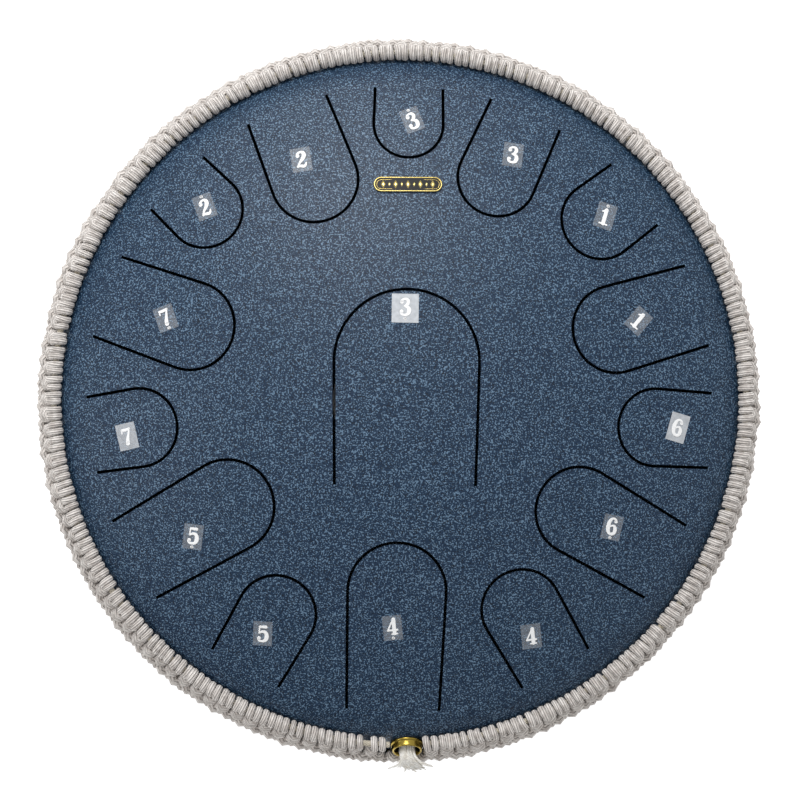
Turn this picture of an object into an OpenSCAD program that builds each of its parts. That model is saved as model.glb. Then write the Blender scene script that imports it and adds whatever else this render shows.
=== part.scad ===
// Fifteen-note steel tongue drum with a knotted cotton cover round its rim.
// Origin: middle of the drum, on the plane its feet stand on. The front, with the brass ring, faces -Y.

/* [Steel shell] */
// Outer diameter of the shell at the rim
shell_d = 355; // [296:1:430]
// Thickness of the sheet steel
wall = 2; // [1.2:0.1:3]
// Outer radius of the dished crown, top and bottom
crown_r = 360; // [300:1:440]
// Outer radius of the rounded shoulder between crown and rim
shoulder_r = 36; // [28:1:48]
// Height of the straight rim on each half
rim_h = 6; // [4:0.5:12]
// Diameter of the sound hole in the bottom
sound_hole_d = 70; // [50:1:110]

/* [Tongues] */
// Shell diameter that the tongue table below is laid out for
layout_d = 355; // [300:5:430]
// Distance from the drum's axis to the outer tongues' roots, on the layout
root_r = 154; // [150:0.5:157]
// Width of the cut round each tongue
slot_w = 1.5; // [0.8:0.1:2.2]
// Angle at which each side of a tongue closes towards its root
side_taper = 1; // [0:0.1:2.5]
// Clearance between a tongue's root and the shell
root_gap = 0.03; // [0.02:0.01:0.1]

/* [Stickers, magnets and badge] */
// Thickness of the clear number stickers
film_t = 0.12; // [0.08:0.02:0.3]
// Thickness of the glue under a sticker
film_glue = 0.03; // [0.02:0.01:0.06]
// Thickness of the tuning magnets under the tongues
magnet_t = 3; // [2:0.5:5]
// Distance from a tongue's tip to its magnet's edge
magnet_inset = 6; // [4:0.5:9]
// Length of the badge plate
badge_l = 33.5; // [26:0.5:40]
// Width of the badge plate
badge_w = 7.6; // [6:0.2:10]
// Thickness of the badge plate
badge_t = 0.8; // [0.5:0.1:1.5]
// Distance of the badge from the drum's axis, on the layout
badge_r = 104; // [96:0.5:108]

/* [Rubber feet] */
// Diameter of a foot
foot_d = 30; // [20:1:40]
// Height of the shell's lowest point above the floor
foot_clear = 6; // [5:0.5:20]
// Distance of the feet from the drum's axis
foot_r = 80; // [60:1:120]
// Chamfer at the foot's lower edge
foot_chamfer = 1.5; // [0.5:0.5:3]

/* [Cotton cover] */
// Thickness of the net over the shell
net_t = 5.6; // [4.4:0.1:8]
// Gap between the cover and the shell
cover_gap = 0.3; // [0.1:0.1:1]
// Angle above the horizontal of the draw cord on the shoulder
draw_angle = 38; // [32:1:50]
// Diameter of the draw cord inside the wraps
draw_cord_d = 3; // [2.4:0.1:4.2]
// Clearance round the draw cord
draw_cord_gap = 0.1; // [0.05:0.05:0.3]
// Thickness of the wraps round the draw cord
wrap_t = 2.4; // [1.6:0.1:3.4]
// Clearance between the wraps and the net
net_gap = 0.1; // [0.05:0.05:0.4]

/* [Brass ring and cord ends] */
// Angle above the horizontal at which the ring lies on the shoulder
ring_angle = 32; // [28:1:36]
// Turn of the ring round the drum, from straight in front towards the right
ring_turn = 1; // [-5:0.5:5]
// Bore of the ring
ring_bore_d = 12.8; // [10:0.1:15.5]
// Wall of the ring's neck
ring_wall = 1.1; // [0.8:0.1:2]
// Width by which the back flange stands out from the neck
flange_w = 0.8; // [0.4:0.1:2]
// Length of the ring
ring_l = 4.2; // [3:0.1:7]
// Thickness of the ring's back flange
flange_t = 1.2; // [0.8:0.1:2]
// Gap between the ring's back and the shell
ring_lift = 0.5; // [0.3:0.1:1]
// Clearance between the ring and the cover
ring_gap = 0.8; // [0.4:0.1:2]
// Diameter of the gathered cord ends inside the ring
ends_d = 8.4; // [6:0.1:10.2]
// Clearance between the cord ends and the bore under them
ends_gap = 0.6; // [0.3:0.1:0.9]
// Straight length of the cord ends beyond the ring's mouth
ends_out = 4.5; // [4.2:0.1:8]
// Length of the frayed tuft that hangs over
fray_l = 6; // [5:0.5:14]
// Diameter of the frayed tuft at its end
fray_d = 9.6; // [8:0.2:14]
// Angle below the horizontal of the frayed tuft
fray_angle = 38; // [0:1:50]

/* [Hidden] */
$fn = 180;

// name, bearing of the root, bearing the tongue points along, root distance,
// length, width, magnet diameter, then the sticker: distance from the tip,
// distance to the left of the tongue's axis, turn, width and height
TONGUES = [
    ["3_low",   -88.7,  -90.8, 42.3,   94.6, 70.0, 20,  9.3, -1.1,  -1, 13,  14],
    ["4_low",   -91.6,  -91.5, root_r, 84.0, 47.8, 15, 42.0, -1.6,   6,  9.4, 12.4],
    ["5_low",  -148.9, -150.2, root_r, 77.0, 45.4, 15, 45.2,  4.5,  -7,  9.6, 12.4],
    ["6_low",   -31.7,  -29.9, root_r, 73.5, 43.0, 15, 40.2,  1.2, -12,  9.8, 12.2],
    ["7_low",   160.9,  160.3, root_r, 66.8, 43.2, 15, 34.6,  0.6,  20,  9.8, 12.2],
    ["1",        17.5,   16.4, root_r, 66.0, 42.8, 12, 34.0,  0.7, -41,  9.6, 12.2],
    ["2",       111.6,  110.7, root_r, 60.4, 42.7, 12, 33.2,  2.5,   9,  9.8, 12.2],
    ["3",        66.4,   65.4, root_r, 56.0, 38.6, 12, 33.6, -2.5,  -8,  9.8, 12.2],
    ["4",       -60.3,  -59.6, root_r, 55.3, 39.2, 12, 34.2, -2.5,   7,  9.8, 12.4],
    ["5",      -120.1, -119.8, root_r, 51.3, 38.7, 12, 31.2, -1.1,  -3,  9.4, 12.2],
    ["6",        -5.9,   -3.0, root_r, 47.8, 38.0, 12, 30.6,  0.5, -16,  9.8, 14],
    ["7",      -173.3, -171.7, root_r, 43.8, 38.4, 12, 25.8,  3.4,  13,  9.8, 13],
    ["1_high",   41.2,   37.1, root_r, 42.5, 38.6, 10, 23.0,  0.2, -18,  9.6, 13],
    ["2_high",  136.2,  135.2, root_r, 39.2, 37.2, 10, 20.2, -1.2,  20,  9.6, 12.6],
    ["3_high",   88.6,   88.5, root_r, 36.2, 34.2, 10, 19.4, -1.7,  21,  9.4, 12.4],
];
fit = shell_d / layout_d;
function note(t) = t[0];
function axis_of(t) = t[2];
function root_at(t) = fit * t[3] * [cos(t[1]), sin(t[1])];
function long_of(t) = fit * t[4];
function half_w(t) = fit * t[5] / 2;
function tip_at(t) = root_at(t) - long_of(t) * [cos(t[2]), sin(t[2])];

// The two dished halves: a crown arc that runs into the shoulder arc
shoulder_x = shell_d / 2 - shoulder_r;
blend = asin(shoulder_x / (crown_r - shoulder_r));
crown_drop = (crown_r - shoulder_r) * cos(blend);
crown_h = crown_r - crown_drop;
rim_z = foot_clear + crown_h + rim_h;
shoulder_z = rim_z + rim_h;
crown_z = shoulder_z - crown_drop;
crown_z_low = rim_z - rim_h + crown_drop;
over = 1;
tall = 200;
// The sides stand this far outside the round tip, so that the two cross cleanly
side_step = 0.01;

// The draw cord's middle in the half profile, and the roll of wraps round it
roll_d = draw_cord_d + 2 * (draw_cord_gap + wrap_t);
draw_off = shoulder_r + cover_gap + roll_d / 2;
draw_at = [shoulder_x, 0] + draw_off * [cos(draw_angle), sin(draw_angle)];

// Where the ring sits, along its own axis from the shoulder's centre
ring_back = shoulder_r + ring_lift;
ring_mouth = ring_back + ring_l;
ring_neck_d = ring_bore_d + 2 * ring_wall;
ring_flange_d = ring_neck_d + 2 * flange_w;
// The cord ends rest low in the bore
ends_drop = (ring_bore_d - ends_d) / 2 - ends_gap;

// Half profile of one dished head, its skin moved inwards by inset
module head_profile(inset) {
    intersection() {
        translate([0, -crown_drop]) circle(crown_r - inset);
        square([(crown_r - inset) * sin(blend), shell_d]);
    }
    intersection() {
        translate([shoulder_x, 0]) circle(shoulder_r - inset);
        square([shell_d, shell_d]);
    }
    translate([0, -rim_h]) square([shell_d / 2 - inset, rim_h]);
}

// One pressed half, open at the rim
module half_shell() {
    difference() {
        rotate_extrude() head_profile(0);
        rotate_extrude() union() {
            head_profile(wall);
            translate([0, -rim_h - over]) square([shell_d / 2 - wall, rim_h]);
        }
    }
}

module upper_half() {
    translate([0, 0, shoulder_z]) half_shell();
}

// Upright prism of a tongue from its tip to the root line, which is moved by end
module tongue_prism(t, grow, end) {
    r = half_w(t) + grow;
    start = half_w(t) + r * sin(side_taper);
    front = r * cos(side_taper) + side_step;
    back = front - (long_of(t) + end - start) * tan(side_taper);
    translate(tip_at(t)) rotate(axis_of(t)) union() {
        translate([half_w(t), 0, 0]) cylinder(h = tall, r = r);
        linear_extrude(tall)
            polygon([[start, front], [long_of(t) + end, back], [long_of(t) + end, -back], [start, -front]]);
    }
}

module top_shell() {
    color("#2f4a68") difference() {
        upper_half();
        for (t = TONGUES) tongue_prism(t, slot_w / 2, 0);
    }
}

module tongue(t) {
    color("#2c4764") intersection() {
        upper_half();
        tongue_prism(t, -slot_w / 2, -root_gap);
    }
}

module bottom_shell() {
    color("#22344c") difference() {
        translate([0, 0, rim_z - rim_h]) mirror([0, 0, 1]) half_shell();
        cylinder(h = rim_z, d = sound_hole_d);
    }
}

// A layer of the given thickness, the given height above the crown
module crown_layer(thick, lift) {
    translate([0, 0, crown_z]) difference() {
        sphere(crown_r + lift + thick);
        sphere(crown_r + lift);
    }
}

module number_sticker(t) {
    middle = tip_at(t) + fit * t[7] * [cos(axis_of(t)), sin(axis_of(t))]
        + fit * t[8] * [-sin(axis_of(t)), cos(axis_of(t))];
    color("#dfe5ec") intersection() {
        crown_layer(film_t, film_glue);
        translate([middle[0], middle[1], rim_z]) rotate(t[9])
            translate([-t[10] / 2, -t[11] / 2, 0]) cube([t[10], t[11], tall]);
    }
}

// A flat disc against the tongue's hollow underside, square to it
module tuning_magnet(t) {
    r = t[6] / 2;
    middle = tip_at(t) + (magnet_inset + r) * [cos(axis_of(t)), sin(axis_of(t))];
    inner = crown_r - wall;
    tilt = asin(norm(middle) / inner);
    color("#b9bcc0") translate([0, 0, crown_z]) rotate(atan2(middle[1], middle[0]))
        rotate([0, tilt, 0]) translate([0, 0, sqrt(inner * inner - r * r) - magnet_t])
        cylinder(h = magnet_t, r = r);
}

module badge_plate() {
    straight = badge_l - badge_w;
    color("#1b1b1d") intersection() {
        crown_layer(badge_t, 0);
        translate([fit * 2.7, fit * badge_r, rim_z]) linear_extrude(tall) union() {
            square([straight, badge_w], center = true);
            for (s = [-1, 1]) translate([s * straight / 2, 0]) circle(d = badge_w);
        }
    }
}

module rubber_foot() {
    difference() {
        union() {
            cylinder(h = foot_chamfer, d1 = foot_d - 2 * foot_chamfer, d2 = foot_d);
            translate([0, 0, foot_chamfer]) cylinder(h = rim_z - rim_h - foot_chamfer, d = foot_d);
        }
        translate([-foot_r, 0, crown_z_low]) sphere(crown_r);
    }
}

module rubber_feet() {
    color("#1c1c1d") for (a = [45:90:315]) rotate(a) translate([foot_r, 0, 0]) rubber_foot();
}

// The net's half profile, from the level of the shoulder's centre up to the wraps
module net_profile() {
    far = 2 * draw_off;
    difference() {
        translate([shoulder_x, 0]) intersection() {
            difference() {
                circle(shoulder_r + cover_gap + net_t);
                circle(shoulder_r + cover_gap);
            }
            polygon([[0, 0], [far, 0], [far, far * tan(draw_angle)]]);
        }
        translate(draw_at) circle(d = roll_d + 2 * net_gap);
    }
}

module draw_ring(d) {
    rotate_extrude() translate(draw_at) circle(d = d);
}

// The roll that the wraps make round the draw cord
module wraps() {
    difference() {
        draw_ring(roll_d);
        draw_ring(draw_cord_d + 2 * draw_cord_gap);
    }
}

// The way that the brass ring and the cord ends take through the cover
module ring_axis() {
    rotate(ring_turn) translate([0, -shoulder_x, shoulder_z]) rotate([90 - ring_angle, 0, 0]) children();
}

module ring_way(d) {
    ring_axis() cylinder(h = 2 * shoulder_r, d = d);
}

module cover_top_wraps() {
    color("#cdc5bd") difference() {
        translate([0, 0, shoulder_z]) wraps();
        ring_way(ring_flange_d + 2 * ring_gap);
    }
}

module cover_bottom_wraps() {
    color("#c8c0b8") translate([0, 0, rim_z - rim_h]) mirror([0, 0, 1]) wraps();
}

module cover_net() {
    inner = shell_d / 2 + cover_gap;
    color("#c3bab1") difference() {
        union() {
            translate([0, 0, shoulder_z]) rotate_extrude() net_profile();
            translate([0, 0, rim_z - rim_h]) rotate_extrude() translate([inner, 0]) square([net_t, 2 * rim_h]);
            translate([0, 0, rim_z - rim_h]) mirror([0, 0, 1]) rotate_extrude() net_profile();
        }
        ring_way(ring_flange_d + 2 * ring_gap);
    }
}

module draw_cord_top() {
    color("#e0d8c4") difference() {
        translate([0, 0, shoulder_z]) draw_ring(draw_cord_d);
        ring_way(ring_flange_d + ring_gap);
    }
}

module draw_cord_bottom() {
    color("#e0d8c4") translate([0, 0, rim_z - rim_h]) mirror([0, 0, 1]) draw_ring(draw_cord_d);
}

module brass_ring() {
    lip = ring_wall / 2;
    color("#b8963a") ring_axis() translate([0, 0, ring_back]) difference() {
        union() {
            cylinder(h = flange_t, d = ring_flange_d);
            cylinder(h = ring_l - lip, d = ring_neck_d);
            translate([0, 0, ring_l - lip]) rotate_extrude() translate([ring_bore_d / 2 + lip, 0]) circle(lip);
        }
        translate([0, 0, -over]) cylinder(h = ring_l + 2 * over, d = ring_bore_d);
    }
}

// The bend where the gathered ends turn down, with its mitre plane across the children's Z
module ends_bend() {
    ring_axis() translate([0, -ends_drop, ring_mouth + ends_out]) children();
}

module mitre_half(side) {
    rotate([(ring_angle + fray_angle) / 2, 0, 0])
        translate([-tall / 2, -tall / 2, side < 0 ? -tall : 0]) cube(tall);
}

module cord_ends() {
    color("#ece4d6") ends_bend() intersection() {
        translate([0, 0, -ring_l - ends_out]) cylinder(h = ring_l + ends_out + ends_d, d = ends_d);
        mitre_half(-1);
    }
}

module frayed_tuft() {
    grow = (fray_d - ends_d) / fray_l;
    color("#f1ebe0") ends_bend() intersection() {
        rotate([ring_angle + fray_angle, 0, 0]) translate([0, 0, -ends_d])
            cylinder(h = fray_l + ends_d, d1 = ends_d * (1 - grow), d2 = fray_d);
        mitre_half(1);
    }
}

top_shell();
bottom_shell();
for (t = TONGUES) tongue(t);
for (t = TONGUES) number_sticker(t);
for (t = TONGUES) tuning_magnet(t);
badge_plate();
rubber_feet();
cover_top_wraps();
cover_net();
cover_bottom_wraps();
draw_cord_top();
draw_cord_bottom();
brass_ring();
cord_ends();
frayed_tuft();
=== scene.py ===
import math
import random

import bmesh
import bpy
from mathutils import Matrix, Vector


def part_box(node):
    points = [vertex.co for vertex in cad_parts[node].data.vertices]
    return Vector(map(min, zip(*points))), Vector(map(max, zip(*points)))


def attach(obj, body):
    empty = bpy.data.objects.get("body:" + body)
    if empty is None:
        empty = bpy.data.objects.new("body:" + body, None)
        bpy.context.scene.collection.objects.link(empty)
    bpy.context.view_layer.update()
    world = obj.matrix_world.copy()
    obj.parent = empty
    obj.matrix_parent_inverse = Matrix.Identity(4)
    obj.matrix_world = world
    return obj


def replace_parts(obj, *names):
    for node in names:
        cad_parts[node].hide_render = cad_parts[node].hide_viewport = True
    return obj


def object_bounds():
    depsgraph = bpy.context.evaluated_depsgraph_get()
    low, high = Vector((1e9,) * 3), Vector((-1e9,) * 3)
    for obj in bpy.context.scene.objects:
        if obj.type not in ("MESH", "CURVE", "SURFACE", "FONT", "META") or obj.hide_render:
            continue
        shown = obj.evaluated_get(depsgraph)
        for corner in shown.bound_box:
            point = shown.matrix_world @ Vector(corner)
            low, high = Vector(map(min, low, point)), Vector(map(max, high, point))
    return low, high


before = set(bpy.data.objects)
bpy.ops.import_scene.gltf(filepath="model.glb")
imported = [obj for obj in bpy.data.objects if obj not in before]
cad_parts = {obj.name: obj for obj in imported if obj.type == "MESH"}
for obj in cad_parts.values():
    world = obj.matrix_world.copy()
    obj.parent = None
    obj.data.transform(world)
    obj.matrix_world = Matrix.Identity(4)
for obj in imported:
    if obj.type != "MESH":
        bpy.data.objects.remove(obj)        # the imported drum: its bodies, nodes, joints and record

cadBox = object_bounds()
mm = 0.001
random.seed(14)


# Shared helpers

def hexColour(text):
    # sRGB hex to the linear colour that shaders use
    parts = [int(text[i:i + 2], 16) / 255 for i in (1, 3, 5)]
    return (*[c / 12.92 if c <= 0.04045 else ((c + 0.055) / 1.055) ** 2.4 for c in parts], 1.0)


def addNode(tree, kind, settings=None, **inputs):
    node = tree.nodes.new("ShaderNode" + kind)
    for name, value in (settings or {}).items():
        setattr(node, name, value)
    for name, value in inputs.items():
        byNumber = name[0] == "i" and name[1:].isdigit()
        socket = node.inputs[int(name[1:]) if byNumber else name.replace("_", " ")]
        if isinstance(value, bpy.types.NodeSocket):
            tree.links.new(value, socket)
        else:
            socket.default_value = value
    return node


def grainNoise(tree, size, **settings):
    # Noise on the object's own surface, with grains of a size in mm
    place = addNode(tree, "TexCoord").outputs["Object"]
    return addNode(tree, "TexNoise", Vector=place, Scale=1 / (size * mm), **settings)


def mixColours(tree, factor, first, second):
    # Two colours mixed by a value: each is a hex text or another node's colour
    ends = [hexColour(c) if isinstance(c, str) else c for c in (first, second)]
    mixed = addNode(tree, "Mix", {"data_type": "RGBA"}, Factor=factor, i6=ends[0], i7=ends[1])
    return mixed.outputs[2]


def newMaterial(name, **shader):
    material = bpy.data.materials.new(name)
    material.use_nodes = True
    tree = material.node_tree
    tree.nodes.clear()
    surface = addNode(tree, "BsdfPrincipled", **shader)
    addNode(tree, "OutputMaterial", Surface=surface.outputs[0])
    return material, tree, surface


def newPiece(name, mesh, material, smooth=True):
    mesh.name = name
    mesh.materials.clear()
    mesh.materials.append(material)
    mesh.polygons.foreach_set("use_smooth", [smooth] * len(mesh.polygons))
    piece = bpy.data.objects.new(name, mesh)
    bpy.context.scene.collection.objects.link(piece)
    return piece


def strandMesh(strands, sides=1, smoothing=0):
    # Round strands as one mesh with a UV map that runs round and along each: points are (x, y, z, radius)
    curve = bpy.data.curves.new("strands", "CURVE")
    curve.dimensions = "3D"
    curve.bevel_depth = 1.0
    curve.bevel_resolution = sides
    curve.use_fill_caps = True
    curve.resolution_u = max(1, smoothing)
    for points in strands:
        line = curve.splines.new("NURBS" if smoothing else "POLY")
        line.points.add(len(points) - 1)
        for point, (x, y, z, radius) in zip(line.points, points):
            point.co = (x, y, z, 1)
            point.radius = radius
        line.use_smooth = True
        if smoothing:
            line.order_u = min(4, len(points))
            line.use_endpoint_u = True
    holder = bpy.data.objects.new("strands", curve)
    bpy.context.scene.collection.objects.link(holder)
    bpy.context.view_layer.update()
    mesh = bpy.data.meshes.new_from_object(holder.evaluated_get(bpy.context.evaluated_depsgraph_get()))
    bpy.data.objects.remove(holder)
    bpy.data.curves.remove(curve)
    return mesh


# The drum's outline, as its solids have it

drum = {
    "crownRadius": 360,      # mm, outside of the dished crown
    "shoulderRadius": 36,    # mm, outside of the rounded shoulder
    "rimHeight": 6,          # mm, straight rim on each half
    "coverGap": 0.3,         # mm, cover off the steel
}
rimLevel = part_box("bottom_shell")[1].z / mm
shoulderLevel = rimLevel + drum["rimHeight"]
lowShoulderLevel = rimLevel - drum["rimHeight"]
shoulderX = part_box("top_shell")[1].x / mm - drum["shoulderRadius"]
crownCentre = cadBox[1].z / mm - drum["crownRadius"]
ringTurn = 1             # degrees, the ring's bearing from the front
ringMiddle = (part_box("brass_ring")[0].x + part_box("brass_ring")[1].x) / 2 / mm


def onCrown(x, y, height):
    # A point above the crown at x, y, in mm, as a place in metres
    reach = drum["crownRadius"] + height
    return Vector((x, y, crownCentre + math.sqrt(reach * reach - x * x - y * y))) * mm


# Camera, floor and light

view = {
    "distance": 1150,        # mm from the level of the shoulder
    "lens": 101.5,           # mm, on a 36 mm sensor
    "aimY": -0.3,            # mm, point aimed at
    "leanX": -1.27,          # degrees, camera towards -X
    "leanY": -0.75,          # degrees, camera towards -Y
}
stage = {
    "floor": "#f4f4f3",      # matt white board
    "floorSize": 4.0,        # m
    "floorGlow": 0.75,       # painted light: the board itself glows, and is left dark where the drum stands as a painted shadow
    "shade": (0.14, 0.2),    # m from the middle, where that painted shadow ends
    "brightSide": (0.15, 0.6, 0.78),         # where the dome is brightest
    "domeLow": 0.05, "domeHigh": 0.95,       # its strength on the far side and on the bright one
    "keyPower": 20,          # W, big soft light behind and above
    "fillPower": 5,          # W, soft light from the left
}


def makeCamera():
    lean = [math.sin(math.radians(view[k])) for k in ("leanX", "leanY")]
    back = Vector((lean[0], lean[1], math.sqrt(1 - lean[0] ** 2 - lean[1] ** 2)))
    right = Vector((0, 1, 0)).cross(back).normalized()
    up = back.cross(right)
    camera = bpy.data.objects.new("camera", bpy.data.cameras.new("camera"))
    bpy.context.scene.collection.objects.link(camera)
    aim = Vector((0, view["aimY"], shoulderLevel)) * mm
    camera.matrix_world = Matrix.Translation(aim + back * view["distance"] * mm) @ Matrix(
        (right, up, back)).transposed().to_4x4()
    camera.data.lens = view["lens"]
    camera.data.sensor_width = 36
    camera.data.clip_end = 20
    bpy.context.scene.camera = camera


def softLight(name, place, aim, size, power):
    light = bpy.data.objects.new(name, bpy.data.lights.new(name, "AREA"))
    light.data.shape = "DISK"
    light.data.size = size
    light.data.energy = power
    light.location = place
    light.rotation_euler = (Vector(aim) - Vector(place)).to_track_quat("-Z", "Y").to_euler()
    bpy.context.scene.collection.objects.link(light)


def makeStage():
    board, tree, surface = newMaterial("white board", Base_Color=hexColour(stage["floor"]), Roughness=0.9,
                                       Emission_Color=(1, 1, 1, 1))
    mottle = addNode(tree, "TexNoise", Vector=addNode(tree, "TexCoord").outputs["Object"], Scale=3.0)
    tone = mixColours(tree, mottle.outputs["Fac"], "#f1f1f0", "#f7f7f6")
    tree.links.new(tone, surface.inputs["Base Color"])
    # Painted light: the floor glows by emission, held at zero round the middle as a painted shadow where the drum
    # stands
    place = addNode(tree, "TexCoord").outputs["Object"]
    reach = addNode(tree, "VectorMath", {"operation": "LENGTH"}, i0=place)
    paintedGlow = addNode(tree, "MapRange", Value=reach.outputs["Value"], From_Min=stage["shade"][0],
                   From_Max=stage["shade"][1], To_Min=0.0, To_Max=stage["floorGlow"])
    tree.links.new(paintedGlow.outputs[0], surface.inputs["Emission Strength"])
    sheet = bmesh.new()
    bmesh.ops.create_grid(sheet, x_segments=1, y_segments=1, size=stage["floorSize"] / 2)
    mesh = bpy.data.meshes.new("floor")
    sheet.to_mesh(mesh)
    newPiece("floor", mesh, board, smooth=False)
    world = bpy.data.worlds.new("studio")
    bpy.context.scene.world = world
    world.use_nodes = True
    tree = world.node_tree
    tree.nodes.clear()
    direction = addNode(tree, "TexCoord").outputs["Generated"]
    facing = addNode(tree, "VectorMath", {"operation": "DOT_PRODUCT"}, i0=direction, i1=stage["brightSide"])
    strength = addNode(tree, "MapRange", Value=facing.outputs["Value"], From_Min=-0.9, From_Max=0.9,
                       To_Min=stage["domeLow"], To_Max=stage["domeHigh"])
    dome = addNode(tree, "Background", Strength=strength.outputs[0])
    addNode(tree, "OutputWorld", Surface=dome.outputs[0])
    softLight("key", (-0.25, 1.25, 1.5), (0, 0, 0.1), 1.0, stage["keyPower"])
    softLight("fill", (-1.6, -0.2, 1.3), (0, 0, 0.1), 1.0, stage["fillPower"])
    bpy.context.scene.view_settings.view_transform = "Standard"


makeCamera()
makeStage()
print("camera and stage ready")


# Finishes

def powderCoat(name, look):
    # Sand-textured powder coat, sprayed and baked: fine lumps, with painted glints as light specks on them and painted
    # shade darkening the pits between them
    coat, tree, surface = newMaterial(name, Roughness=0.4, IOR=1.4)
    place = addNode(tree, "TexCoord").outputs["Object"]
    drift = addNode(tree, "TexNoise", Vector=place, Scale=1 / (look["driftSize"] * mm), Detail=1.0)
    lumps = addNode(tree, "TexNoise", Vector=place, Scale=1 / (look["lumpSize"] * mm), Detail=2.0,
                    Roughness=0.6)
    specks = addNode(tree, "TexNoise", Vector=place, Scale=1 / (look["speckSize"] * mm), Detail=1.0)
    tone = mixColours(tree, drift.outputs["Fac"], look["colour"], look["driftColour"])
    # Painted shade: the low parts of the lumps are darkened towards the pit colour
    dark = addNode(tree, "MapRange", Value=lumps.outputs["Fac"], From_Min=0.38, From_Max=0.48,
                   To_Min=look["pitShadeDepth"], To_Max=0.0)
    withPitShade = mixColours(tree, dark.outputs[0], tone, look["pitShadeColour"])
    # Painted highlights: light specks painted into the colour as glints off the grain
    bright = addNode(tree, "MapRange", Value=specks.outputs["Fac"], From_Min=0.54, From_Max=0.63,
                     To_Min=0.0, To_Max=look["paintedGlintAmount"])
    withPaintedGlints = mixColours(tree, bright.outputs[0], withPitShade, look["paintedGlintColour"])
    tree.links.new(withPaintedGlints, surface.inputs["Base Color"])
    rough = addNode(tree, "MapRange", Value=specks.outputs["Fac"], From_Min=0.3, From_Max=0.7,
                    To_Min=look["roughness"] + 0.1, To_Max=look["roughness"] - 0.08)
    tree.links.new(rough.outputs[0], surface.inputs["Roughness"])
    both = addNode(tree, "Math", {"operation": "ADD"}, i0=lumps.outputs["Fac"], i1=specks.outputs["Fac"])
    bump = addNode(tree, "Bump", Strength=look["relief"], Distance=look["lumpHeight"] * mm,
                   Height=both.outputs[0])
    tree.links.new(bump.outputs[0], surface.inputs["Normal"])
    return coat


topCoatLook = {
    "colour": "#0e2d47", "driftColour": "#112a45",
    "driftSize": 70,         # mm, faint drift of the tone
    "lumpSize": 0.85,         # mm, grain of the sand texture
    "speckSize": 0.75,        # mm
    "lumpHeight": 0.16, "relief": 0.9,
    # Pit colour is painted shade in the pits, speck colour is painted glints
    "pitShadeColour": "#071322", "pitShadeDepth": 0.9,
    "paintedGlintColour": "#7d9cb8", "paintedGlintAmount": 0.6,
    "roughness": 0.42,
}
# The bottom shell's coat: darker than the top coat, with fewer painted glints
baseCoatLook = dict(topCoatLook, colour="#10283f", driftColour="#12263d", paintedGlintAmount=0.35)


def cottonCord(name, look):
    # Soft cotton cord laid from a few plies: matt, with painted shade as a dark line in the crevice where two plies
    # meet
    cotton, tree, surface = newMaterial(name, Roughness=0.92, Sheen_Weight=0.25, Sheen_Roughness=0.6)
    chart = addNode(tree, "TexCoord")
    parts = addNode(tree, "SeparateXYZ", Vector=chart.outputs["UV"])
    along = addNode(tree, "Math", {"operation": "MULTIPLY"}, i0=parts.outputs[0], i1=look["turns"])
    lay = addNode(tree, "Math", {"operation": "ADD"}, i0=parts.outputs[1], i1=along.outputs[0])
    phase = addNode(tree, "Math", {"operation": "MULTIPLY"}, i0=lay.outputs[0], i1=math.pi * look["plies"])
    wave = addNode(tree, "Math", {"operation": "SINE"}, i0=phase.outputs[0])
    ply = addNode(tree, "Math", {"operation": "ABSOLUTE"}, i0=wave.outputs[0])
    fuzz = grainNoise(tree, look["fuzz"], Detail=2.0)
    blotch = grainNoise(tree, look["blotch"], Detail=1.0)
    tint = addNode(tree, "MapRange", Value=blotch.outputs["Fac"], From_Min=0.35, From_Max=0.65)
    yarn = mixColours(tree, tint.outputs[0], look["colour"], look["otherColour"])
    # Painted shade: the crevices where two plies meet are darkened
    creviceShadeMask = addNode(tree, "MapRange", Value=ply.outputs[0], From_Min=0.0, From_Max=0.55,
                      To_Min=look["creviceShadeDepth"], To_Max=0.0)
    withCreviceShade = mixColours(tree, creviceShadeMask.outputs[0], yarn, look["creviceShadeColour"])
    tree.links.new(withCreviceShade, surface.inputs["Base Color"])
    thread = addNode(tree, "Math", {"operation": "MULTIPLY"}, i0=fuzz.outputs["Fac"], i1=look["fuzzHeight"])
    height = addNode(tree, "Math", {"operation": "ADD"}, i0=ply.outputs[0], i1=thread.outputs[0])
    bump = addNode(tree, "Bump", Strength=1.0, Distance=look["plyHeight"] * mm, Height=height.outputs[0])
    tree.links.new(bump.outputs[0], surface.inputs["Normal"])
    return cotton


coverLook = {
    # Crevice colour and depth are painted shade between the plies
    "colour": "#f0eae5", "otherColour": "#d0c8c2", "creviceShadeColour": "#4a423c", "creviceShadeDepth": 0.9,
    "plies": 9, "turns": 0.15,    # plies in a strand, and turns that they make along one
    "plyHeight": 0.4,            # mm
    "fuzz": 0.35, "fuzzHeight": 0.6, "blotch": 3,
}
creamLook = dict(coverLook, colour="#e9e0cd", otherColour="#ded3be", turns=90, creviceShadeDepth=0.5)
endsLook = dict(coverLook, colour="#fffdf8", otherColour="#f4efe5", plies=3, turns=2,
                creviceShadeDepth=0.25, plyHeight=0.15)

topCoat = powderCoat("sand-textured powder coat, navy", topCoatLook)
baseCoat = powderCoat("sand-textured powder coat, dark navy", baseCoatLook)
coverCotton = cottonCord("laid cotton cord, grey beige", coverLook)
creamCotton = cottonCord("laid cotton cord, cream", creamLook)
endsCotton = cottonCord("combed cotton yarn, off white", endsLook)


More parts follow.
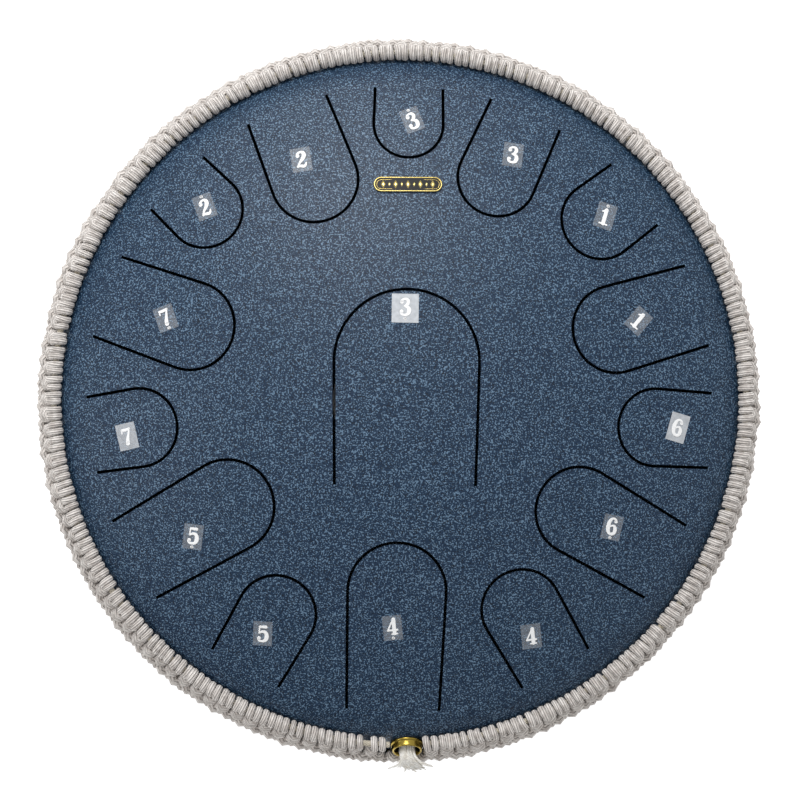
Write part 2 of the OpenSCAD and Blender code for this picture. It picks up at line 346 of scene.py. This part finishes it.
def polishedBrass(name, dark, light):
    # Cast brass, buffed: bright, with faint rubbing marks that spread the highlights
    brass, tree, surface = newMaterial(name, Metallic=1.0)
    place = addNode(tree, "TexCoord").outputs["Object"]
    rub = addNode(tree, "TexNoise", Vector=place, Scale=1 / (1.5 * mm), Detail=3.0)
    tone = mixColours(tree, rub.outputs["Fac"], dark, light)
    tree.links.new(tone, surface.inputs["Base Color"])
    rough = addNode(tree, "MapRange", Value=rub.outputs["Fac"], To_Min=0.14, To_Max=0.3)
    tree.links.new(rough.outputs[0], surface.inputs["Roughness"])
    return brass


def mouldedRubber():
    # Moulded rubber foot: nearly black, matt, with the mould's fine grain
    rubber, tree, surface = newMaterial("moulded rubber", Roughness=0.75, IOR=1.52)
    grain = grainNoise(tree, 0.6)
    tone = mixColours(tree, grain.outputs["Fac"], "#181819", "#2a2a2b")
    tree.links.new(tone, surface.inputs["Base Color"])
    bump = addNode(tree, "Bump", Strength=0.5, Distance=0.08 * mm, Height=grain.outputs["Fac"])
    tree.links.new(bump.outputs[0], surface.inputs["Normal"])
    return rubber


def nickelPlate():
    # Nickel-plated magnet: pale metal, faintly clouded by handling
    nickel, tree, surface = newMaterial("nickel plate", Base_Color=hexColour("#c9c7c2"), Metallic=1.0)
    cloud = grainNoise(tree, 4)
    rough = addNode(tree, "MapRange", Value=cloud.outputs["Fac"], To_Min=0.1, To_Max=0.35)
    tree.links.new(rough.outputs[0], surface.inputs["Roughness"])
    return nickel


def clearFilm(name, haze):
    # Clear vinyl film: lets the coat show, with a milky haze from the glue below it
    film, tree, surface = newMaterial(name, Base_Color=hexColour("#e9edf2"), Roughness=0.25, IOR=1.46)
    cloud = grainNoise(tree, 2.5, Detail=2.0)
    veil = addNode(tree, "MapRange", Value=cloud.outputs["Fac"], From_Min=0.3, From_Max=0.7,
                   To_Min=haze * 0.85, To_Max=haze * 1.15)
    tree.links.new(veil.outputs[0], surface.inputs["Alpha"])
    return film


def printedInk():
    # White screen-printed ink: opaque, a little uneven
    ink, tree, surface = newMaterial("white printed ink", Roughness=0.45)
    cloud = grainNoise(tree, 0.8)
    tone = mixColours(tree, cloud.outputs["Fac"], "#eef0f2", "#ffffff")
    tree.links.new(tone, surface.inputs["Base Color"])
    return ink


def blackEnamel():
    # Black stove enamel: glossy, with slight orange peel
    enamel, tree, surface = newMaterial("black enamel", Roughness=0.4, Specular_IOR_Level=0.2)
    peel = grainNoise(tree, 1.2)
    tone = mixColours(tree, peel.outputs["Fac"], "#0c0c0d", "#1a1918")
    tree.links.new(tone, surface.inputs["Base Color"])
    bump = addNode(tree, "Bump", Strength=0.3, Distance=0.03 * mm, Height=peel.outputs["Fac"])
    tree.links.new(bump.outputs[0], surface.inputs["Normal"])
    return enamel


brass = polishedBrass("buffed brass", "#8f7a34", "#b39c4c")
gilt = polishedBrass("pale gilt", "#b8a35c", "#d2c184")
enamel = blackEnamel()
ink = printedInk()
print("finishes ready")


# Steel, feet and magnets keep their own solids

def finishNodes():
    finishes = {"top_shell": topCoat, "bottom_shell": baseCoat, "rubber_feet": mouldedRubber(),
                "badge_plate": enamel, "draw_cord_bottom": creamCotton}
    nickel = nickelPlate()
    for name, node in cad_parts.items():
        if name.startswith("tongue_"):
            finishes[name] = topCoat
        if name.startswith("tuning_magnet_"):
            finishes[name] = nickel
        if name in finishes:
            node.data.materials.clear()
            node.data.materials.append(finishes[name])


finishNodes()
print("steel coated")


# Number stickers

stickers = {
    "numeralHeight": 8.2,    # mm
    "weight": 1.2,           # boldness of the strokes
    "inkHeight": 0.19,       # mm above the crown, on the film
    "inkThickness": 0.05,    # mm
    "haze": 0.09,            # how milky a film is
    "hazy": {"3_low": 0.5, "6": 0.42, "7": 0.3},     # films that have lifted a little
    "turns": {"3_low": -1, "4_low": 6, "5_low": -7, "6_low": -12, "7_low": 20, "1": -41, "2": 9, "3": -8, "4": 7,
              "5": -3, "6": -16, "7": 13, "1_high": -18, "2_high": 20, "3_high": 21},     # degrees
}
# Each numeral's strokes, drawn as a sign writer would: across, up and half width, in numeral heights
numerals = {
    "1": [[(0.33, 0.06, 0.1), (0.33, 0.93, 0.1)], [(0.35, 0.92, 0.06), (0.12, 0.8, 0.045)],
          [(0.09, 0.045, 0.045), (0.57, 0.045, 0.045)]],
    "2": [[(0.15, 0.74, 0.1), (0.13, 0.86, 0.07), (0.27, 0.98, 0.045), (0.5, 0.96, 0.08), (0.57, 0.74, 0.12),
           (0.42, 0.5, 0.09), (0.2, 0.3, 0.05), (0.08, 0.09, 0.04)],
          [(0.08, 0.07, 0.05), (0.22, 0.13, 0.07), (0.4, 0.05, 0.09), (0.55, 0.05, 0.07), (0.61, 0.27, 0.035)]],
    "3": [[(0.14, 0.78, 0.1), (0.12, 0.9, 0.06), (0.3, 0.99, 0.04), (0.55, 0.95, 0.09), (0.53, 0.6, 0.1),
           (0.27, 0.53, 0.035)],
          [(0.27, 0.53, 0.035), (0.6, 0.52, 0.1), (0.6, 0.1, 0.12), (0.36, -0.01, 0.045), (0.08, 0.04, 0.06),
           (0.13, 0.22, 0.1)]],
    "4": [[(0.42, 0.95, 0.04), (0.06, 0.3, 0.04)], [(0.05, 0.28, 0.05), (0.62, 0.28, 0.05)],
          [(0.44, 0.93, 0.1), (0.44, 0.07, 0.1)], [(0.27, 0.04, 0.04), (0.61, 0.04, 0.04)]],
    "5": [[(0.16, 0.9, 0.06), (0.52, 0.9, 0.08)], [(0.15, 0.93, 0.04), (0.13, 0.5, 0.04)],
          [(0.13, 0.5, 0.04), (0.3, 0.66, 0.06), (0.6, 0.6, 0.1), (0.6, 0.12, 0.12), (0.38, -0.01, 0.05),
           (0.08, 0.03, 0.06), (0.13, 0.2, 0.1)]],
    "6": [[(0.5, 0.8, 0.09), (0.5, 0.93, 0.05), (0.3, 1.02, 0.04), (0.09, 0.8, 0.1), (0.08, 0.2, 0.12),
           (0.28, -0.03, 0.05), (0.56, 0.06, 0.1), (0.56, 0.48, 0.1), (0.36, 0.6, 0.045), (0.16, 0.42, 0.04)]],
    "7": [[(0.1, 0.9, 0.06), (0.3, 0.86, 0.09), (0.56, 0.92, 0.06)], [(0.09, 0.93, 0.035), (0.07, 0.7, 0.035)],
          [(0.56, 0.92, 0.04), (0.42, 0.5, 0.06), (0.3, 0.25, 0.1), (0.3, 0.07, 0.11)]],
}
numeralMiddle = (0.34, 0.49)
noteDot = (0.34, 0.09)       # across, and radius, in numeral heights


def numeralMesh(digit, octave):
    # Flat ink of one numeral round the origin, in mm, with its octave dot under or over it
    strands = [[(x, y, 0, r * stickers["weight"]) for x, y, r in stroke] for stroke in numerals[digit]]
    if octave:
        y = -0.2 if octave == "low" else 1.2
        strands.append([(noteDot[0] - 0.01, y, 0, noteDot[1]), (noteDot[0] + 0.01, y, 0, noteDot[1])])
    ink = bmesh.new()
    for strand in strands:
        part = strandMesh([strand], sides=3, smoothing=5 if len(strand) > 2 else 0)
        ink.from_mesh(part)
        for x, y, z, r in (strand[0], strand[-1]):
            bmesh.ops.create_uvsphere(ink, u_segments=12, v_segments=6, radius=r,
                                      matrix=Matrix.Translation((x, y, z)))
    scale = stickers["numeralHeight"]
    shift = {"low": 0.07, "high": -0.07}.get(octave, 0)
    for v in ink.verts:
        flat = max(-1.0, min(1.0, v.co.z / 0.04)) * stickers["inkThickness"] / 2
        v.co = ((v.co.x - numeralMiddle[0]) * scale, (v.co.y - numeralMiddle[1] + shift) * scale, flat)
    return ink


def makeStickers():
    film = clearFilm("clear vinyl film", stickers["haze"])
    for name, turn in stickers["turns"].items():
        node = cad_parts["number_sticker_" + name]
        low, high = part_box("number_sticker_" + name)
        middle = (low + high) / 2 / mm
        digit, _, octave = name.partition("_")
        ink_ = numeralMesh(digit, octave)
        turned = Matrix.Rotation(math.radians(turn), 3, "Z")
        for v in ink_.verts:
            spot = turned @ v.co
            v.co = onCrown(middle.x + spot.x, middle.y + spot.y, stickers["inkHeight"] + spot.z)
        mesh = bpy.data.meshes.new("numeral")
        ink_.to_mesh(mesh)
        numeral = newPiece("numeral_" + name, mesh, ink)
        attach(numeral, "tongue_" + name)
        haze = stickers["hazy"].get(name)
        node.data.materials.clear()
        node.data.materials.append(clearFilm("milky vinyl film " + name, haze) if haze else film)


makeStickers()
print("stickers printed")


# Badge: enamel plate with a raised rim and a plain row of lozenges

badge = {
    "rimRadius": 0.42,       # mm, half thickness of the raised outer rim
    "lineInset": 1.5,       # mm, inner line from the plate's edge
    "lineRadius": 0.16,      # mm
    "lozenges": 9,
    "lozengeSize": 1.6,     # mm, half width
    "thickness": 0.8,        # mm, of the plate
}


def pillLine(middle, length, width, height, radius):
    # A closed wire round a pill shape that follows the crown
    straight = (length - width) / 2
    points = []
    for side, start in ((1, -90), (-1, 90)):
        for step in range(13):
            angle = math.radians(start + step * 15)
            spot = onCrown(middle.x + side * straight + width / 2 * math.cos(angle),
                           middle.y + width / 2 * math.sin(angle), height)
            points.append((*spot, radius * mm))
    return points + [points[0]]


def makeBadge():
    low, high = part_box("badge_plate")
    middle, size = (low + high) / 2 / mm, (high - low) / mm
    top = badge["thickness"]
    wires = [pillLine(middle, size.x - 2 * inset, size.y - 2 * inset, top, radius)
             for inset, radius in ((badge["rimRadius"], badge["rimRadius"]), (badge["lineInset"], badge["lineRadius"]))]
    rims = newPiece("badge_rim", strandMesh(wires, sides=2), gilt)
    work = bmesh.new()
    span = size.x * 0.72
    for i in range(badge["lozenges"]):
        x = middle.x + span * (i / (badge["lozenges"] - 1) - 0.5)
        reach = badge["lozengeSize"] * (1 if i % 2 == 0 else 0.55)
        made = bmesh.ops.create_cone(work, segments=4, radius1=reach, radius2=reach * 0.35, depth=0.3,
                                     cap_ends=True)
        for v in made["verts"]:
            v.co = onCrown(x + v.co.x * 0.8, middle.y + v.co.y * 1.5, top + 0.1 + v.co.z)
    mesh = bpy.data.meshes.new("badge_lozenges")
    work.to_mesh(mesh)
    lozenges = newPiece("badge_lozenges", mesh, gilt, smooth=False)
    for piece in (rims, lozenges):
        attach(piece, "drum")


makeBadge()
print("badge set")


# The brass ring, which slides along its own axis out of the cover

ring = {
    "angle": 32,             # degrees, its place on the shoulder
    "back": 36.5,            # mm from the shoulder's centre
    "length": 4.2, "bore": 12.8, "neck": 15.0, "flange": 16.6, "flangeThickness": 1.2,
}
ringFrame = (Matrix.Scale(mm, 4) @ Matrix.Rotation(math.radians(ringTurn), 4, "Z")
             @ Matrix.Translation((0, -shoulderX, shoulderLevel))
             @ Matrix.Rotation(math.radians(90 - ring["angle"]), 4, "X"))


# Cotton cover: wraps round the draw cord, and a knotted net down the side

cover = {
    "repeats": 144,          # pairs of wraps, and knots in a row
    "drawAngle": 38,         # degrees, the draw cord's place on the shoulder
    "rollRadius": 4,         # mm, outside of the wraps
    "drawCordHalf": 1.5,     # mm, half thickness of the draw cord
    "wrapHalf": 1.25,        # mm, half thickness of a wrap
    "wrapWidth": 1.42,       # width of a wrap over its thickness
    "lean": 0.5,             # mm, how far a wrap leans along the edge
    "netThickness": 5.6,     # mm
    "knotRows": 6,
    "firstRow": 6.5,         # mm down the side, first and last row from the rolls
    "barHalf": 2.25,         # mm, half thickness of a knot's bars
    "legHalf": 1.3,         # mm, half thickness of the crossing strands
    "bulge": 0.9, "bulgeBearing": -121,      # mm more to the net, and degrees, where it was pulled less tight
    "settle": 1.5, "slip": 1.0,              # degrees, the roll above its solid, and more of it at the front
    "bareFrom": -17.6, "bareTo": -13.8,     # mm across the front, where the draw cord lies bare
    "ringClear": 8.8,        # mm, room each side of the ring
    "ringRoom": 0.9,         # mm, round the ring's flange as it slides
}
drawOffset = drum["shoulderRadius"] + drum["coverGap"] + cover["rollRadius"]
netMiddle = drum["shoulderRadius"] + drum["coverGap"] + cover["netThickness"] / 2
arcLength = math.radians(cover["drawAngle"]) * netMiddle
sideLength = 2 * arcLength + 2 * drum["rimHeight"]


def rollFrame(turn, side):
    # The frame on the draw cord at a bearing: X along the cord, Y towards the crown, Z off the steel
    shift = cover["settle"] - cover["slip"] * math.sin(turn) if side > 0 else 0
    rise = math.radians(cover["drawAngle"] + shift)
    outward = Vector((math.cos(rise), 0, math.sin(rise) * side))
    inward = Vector((-math.sin(rise), 0, math.cos(rise) * side))
    along = Vector((0, 1, 0)) if side < 0 else Vector((0, -1, 0))
    level = shoulderLevel if side > 0 else lowShoulderLevel
    place = Vector((shoulderX, 0, level)) + outward * drawOffset
    made = Matrix((along, inward, outward)).transposed().to_4x4()
    made.translation = place
    return Matrix.Scale(mm, 4) @ Matrix.Rotation(turn, 4, "Z") @ made


def onSide(turn, down, height):
    # A point on the cover's side: down along it from the draw cord, and height off the steel, in mm
    if down < arcLength:
        rise, level = (arcLength - down) / netMiddle, shoulderLevel
    elif down > sideLength - arcLength:
        rise, level = -(down - sideLength + arcLength) / netMiddle, lowShoulderLevel
    else:
        rise, level = 0, shoulderLevel - (down - arcLength)
    reach = drum["shoulderRadius"] + drum["coverGap"] + height
    radius = shoulderX + reach * math.cos(rise)
    return Vector((radius * math.cos(turn), radius * math.sin(turn), level + reach * math.sin(rise))) * mm


def makeWraps(name, side, clear):
    reach = cover["rollRadius"] - cover["wrapHalf"]
    angles = [math.radians(a) for a in (-150, -112, -75, -37, 0, 37, 75, 112, 150)]
    strand = [(cover["lean"] * a / math.pi, reach * math.sin(a) * 1.0, reach * math.cos(a), cover["wrapHalf"])
              for a in angles]
    one = strandMesh([strand], sides=2)
    work = bmesh.new()
    step = 2 * math.pi / cover["repeats"]
    for i in range(cover["repeats"]):
        for half in (-0.235, 0.235):
            turn = (i + half) * step + random.gauss(0, 0.0012)
            across = (shoulderX + drawOffset * math.cos(math.radians(cover["drawAngle"]))) * math.cos(turn)
            front = math.sin(turn) < 0
            if clear and front and (abs(across - ringMiddle) < cover["ringClear"] + 1.2
                                    or cover["bareFrom"] < across < cover["bareTo"]):
                continue
            part = one.copy()
            size = random.gauss(1, 0.035)
            part.transform(Matrix.Diagonal((cover["wrapWidth"] * random.gauss(1, 0.07), size, size, 1)))
            part.transform(Matrix.Rotation(random.gauss(0, 0.07), 4, "Z"))
            part.transform(rollFrame(turn, side))
            work.from_mesh(part)
            bpy.data.meshes.remove(part)
    mesh = bpy.data.meshes.new(name)
    work.to_mesh(mesh)
    piece = newPiece(name, mesh, coverCotton)
    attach(piece, "drum")
    return piece


def knotStrands():
    # One knot of the net, flat: x across, y down the side, z off the steel, in mm
    bar, leg = cover["barHalf"], cover["legHalf"]
    pitch = 2 * math.pi * (shoulderX + netMiddle) / cover["repeats"]
    drop = (sideLength - 2 * cover["firstRow"]) / (cover["knotRows"] - 1)
    bars = [[(-pitch * 0.37, y - 0.3, 1.4, bar * 0.6), (-pitch * 0.22, y, 3.4, bar * 0.95), (0, y + 0.2, 4.2, bar),
             (pitch * 0.22, y, 3.4, bar * 0.95), (pitch * 0.37, y - 0.3, 1.4, bar * 0.6)] for y in (-1.7, 1.7)]
    legs = [[(s * pitch * 0.12, 1.5, 2.2, leg * 0.8), (s * pitch * 0.2, drop * 0.35, 2.6, leg),
             (s * pitch * 0.36, drop * 0.65, 2.4, leg), (s * pitch * 0.45, drop - 1.5, 2.0, leg * 0.8)]
            for s in (-1, 1)]
    return bars, legs, drop


def besideRing(spot):
    # A point of the net, pressed aside where the ring's way passes through
    local = ringFrame.inverted() @ spot
    away, room = math.hypot(local.x, local.y), ring["flange"] / 2 + cover["ringRoom"]
    if local.z < 0 or away >= room:
        return spot
    push = room / max(away, 0.01)
    return ringFrame @ Vector((local.x * push, local.y * push, local.z))


def makeNet(name, rows):
    bars, legs, drop = knotStrands()
    whole, last = strandMesh(bars + legs), strandMesh(bars)
    work = bmesh.new()
    step = 2 * math.pi / cover["repeats"]
    for row in rows:
        down = cover["firstRow"] + row * drop
        for i in range(cover["repeats"]):
            turn = (i + 0.5 * (row % 2)) * step
            across = (shoulderX + netMiddle) * math.cos(turn)
            if math.sin(turn) < 0 and abs(across - ringMiddle) < cover["ringClear"] + 2.5 and row < 1:
                continue
            part = (last if row == cover["knotRows"] - 1 else whole).copy()
            wobble, size = random.gauss(0, 0.25), random.gauss(1, 0.05)
            slack = cover["bulge"] * max(0, math.cos(turn - math.radians(cover["bulgeBearing"]))) ** 2
            radius = shoulderX + netMiddle
            for v in part.vertices:
                x, y, z = v.co
                v.co = besideRing(onSide(turn + (x * size + wobble) / radius, down + y * size + wobble * 0.5,
                                         z * size + slack * z / 5))
            work.from_mesh(part)
            bpy.data.meshes.remove(part)
    mesh = bpy.data.meshes.new(name)
    work.to_mesh(mesh)
    piece = newPiece(name, mesh, coverCotton)
    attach(piece, "drum")
    return piece


def makeCover():
    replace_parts(makeWraps("cotton_wraps_top", 1, True), "cover_top_wraps")
    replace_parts(makeWraps("cotton_wraps_bottom", -1, False), "cover_bottom_wraps")
    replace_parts(makeNet("cotton_net_upper", range(0, 3)), "cover_net")
    makeNet("cotton_net_lower", range(3, 6))


makeCover()
print("cover knotted")


def makeDrawCord():
    # The cream cord inside the top wraps, which shows where they leave it bare
    front = -math.pi / 2 + math.radians(ringTurn)
    gap = cover["ringClear"] / (shoulderX + drawOffset * math.cos(math.radians(cover["drawAngle"])))
    turns = [front + gap + (2 * math.pi - 2 * gap) * i / 160 for i in range(161)]
    line = [(*rollFrame(t, 1).translation, cover["drawCordHalf"] * mm) for t in turns]
    cord = newPiece("draw_cord", strandMesh([line], sides=2), creamCotton)
    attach(cord, "drum")
    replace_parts(cord, "draw_cord_top")


makeDrawCord()
print("draw cord laid")


# Brass ring and the frayed cord ends

tuft = {
    "strands": 120,
    "strandRadius": 0.62,    # mm
    "bundle": 3.7,           # mm, radius of the gathered ends in the ring
    "drop": 1.6,             # mm, below the ring's axis
    "beyond": 4.2,           # mm, straight length past the mouth
    "fall": 6,             # mm, of the frayed tips
    "spread": 5.5,           # mm, sideways
}


def makeRing():
    bore, neck, flange = ring["bore"] / 2, ring["neck"] / 2, ring["flange"] / 2
    lip = (neck - bore) / 2
    outline = [(bore, 0), (bore, ring["length"] - lip)]
    outline += [(bore + lip - lip * math.cos(a), ring["length"] - lip + lip * math.sin(a))
                for a in [math.radians(s) for s in range(30, 181, 30)]]
    outline += [(neck, ring["flangeThickness"] + 0.5), (neck + 0.2, ring["flangeThickness"] + 0.1),
                (flange - 0.3, ring["flangeThickness"]), (flange, ring["flangeThickness"] - 0.3), (flange, 0.2),
                (flange - 0.2, 0), (bore, 0)]
    work = bmesh.new()
    verts = [work.verts.new((r, 0, ring["back"] + z)) for r, z in outline]
    edges = [work.edges.new(pair) for pair in zip(verts, verts[1:])]
    bmesh.ops.spin(work, geom=verts + edges, cent=(0, 0, 0), axis=(0, 0, 1), angle=2 * math.pi, steps=72,
                   use_merge=True)
    bmesh.ops.remove_doubles(work, verts=work.verts, dist=1e-4)
    bmesh.ops.recalc_face_normals(work, faces=work.faces)
    mesh = bpy.data.meshes.new("ring")
    work.to_mesh(mesh)
    mesh.transform(ringFrame)
    piece = newPiece("brass_ring_turned", mesh, brass)
    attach(piece, "ring")
    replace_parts(piece, "brass_ring")


def makeTuft():
    strands = []
    mouth = ring["back"] + ring["length"]
    down = Vector((0, 0, -1))
    toRow = ringFrame.to_3x3() * (1 / mm)
    for _ in range(tuft["strands"]):
        away, bearing = tuft["bundle"] * math.sqrt(random.random()), random.uniform(0, 2 * math.pi)
        x, y = away * math.cos(bearing), away * math.sin(bearing) - tuft["drop"]
        length = tuft["beyond"] + tuft["fall"] * random.uniform(0.6, 1.15)
        sway = random.gauss(0.65, 0.6) * tuft["spread"]
        lift = random.gauss(0, 0.8)
        start = ringFrame @ Vector((x * 0.9, y, ring["back"] + 0.6)) / mm
        heading = (toRow @ Vector((0, 0, 1))).normalized()
        points = [start]
        place, steps = ringFrame @ Vector((x, y, mouth)) / mm, 5
        points.append(place.copy())
        for k in range(1, steps + 1):
            share = k / steps
            droop = heading.lerp(Vector((0, -0.55, -0.85)), min(1, share * 1.1)).normalized()
            drift = Vector((sway / steps * share * 1.6, 0, lift * share / steps))
            place = place + droop * (length / steps) + drift
            points.append(place.copy())
        thick = tuft["strandRadius"] * random.uniform(0.7, 1.2)
        taper = [1, 1, 1, 0.95, 0.85, 0.7, 0.4]
        strands.append([(*(p * mm), thick * t * mm) for p, t in zip(points, taper)])
    piece = newPiece("frayed_cord_ends", strandMesh(strands, sides=1, smoothing=2), endsCotton)
    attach(piece, "drum")
    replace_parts(piece, "cord_ends", "frayed_tuft")


makeRing()
makeTuft()
print("ring and cord ends ready")
